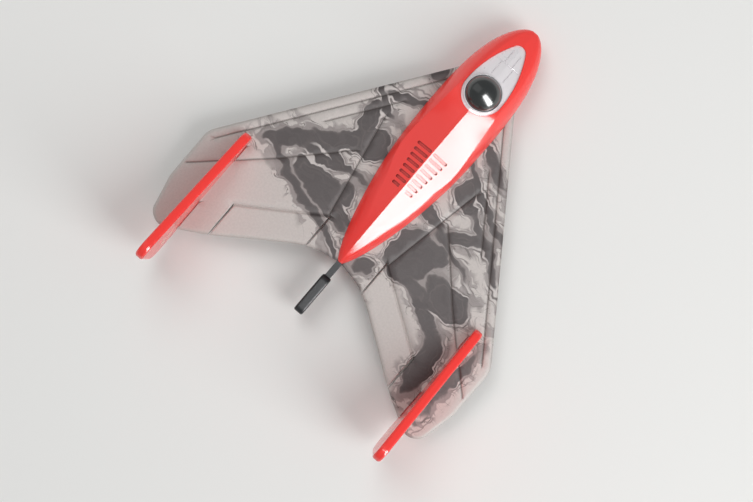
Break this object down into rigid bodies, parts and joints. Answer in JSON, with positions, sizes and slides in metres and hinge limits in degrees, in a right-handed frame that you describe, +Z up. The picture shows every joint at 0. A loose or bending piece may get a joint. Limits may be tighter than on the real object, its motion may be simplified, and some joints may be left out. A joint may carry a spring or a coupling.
{
  "type": "toy foam glider",
  "caption": "Tailless foam toy glider with a moulded plastic pod, canopy and twin tip fins, launch hook under the nose, and trailing-edge flaps that bend to trim its flight.",
  "frame": {"origin": "bottom centre of the bounding box, on the plane that the belly rests on", "axes": "+X to the nose, +Y to port (left), +Z up"},
  "size_m": [0.156, 0.137, 0.0387],
  "materials": {
    "printed_foam": "closed-cell foam skin with a grey camouflage print",
    "red_plastic": "glossy injection-moulded",
    "silver_plastic": "silver-coloured moulding",
    "smoked_plastic": "glossy dark smoked",
    "black_plastic": "satin moulded",
    "steel": "bright cut slug"
  },
  "bodies": {
    "glider": {"wing_panel": "printed_foam", "fuselage_upper_shell": "red_plastic", "fuselage_lower_shell": "red_plastic", "cockpit_deck": "silver_plastic", "canopy_dome": "smoked_plastic", "fin_left": "red_plastic", "fin_right": "red_plastic", "tail_grip": "black_plastic", "launch_hook": "black_plastic", "nose_weight": "steel"},
    "elevon_port": {"elevon_left": "printed_foam"},
    "elevon_starboard": {"elevon_right": "printed_foam"}
  },
  "joints": [
    {"name": "elevon_left_bend", "type": "hinge", "parent": "glider", "child": "elevon_port", "pos_m": [-0.03225, 0.0285, 0.01], "axis": [-0.5567, 0.8307, 0], "range_deg": [-12, 20]},
    {"name": "elevon_right_bend", "type": "hinge", "parent": "glider", "child": "elevon_starboard", "pos_m": [-0.03225, -0.0285, 0.01], "axis": [0.5567, 0.8307, 0], "range_deg": [-12, 20]}
  ]
}
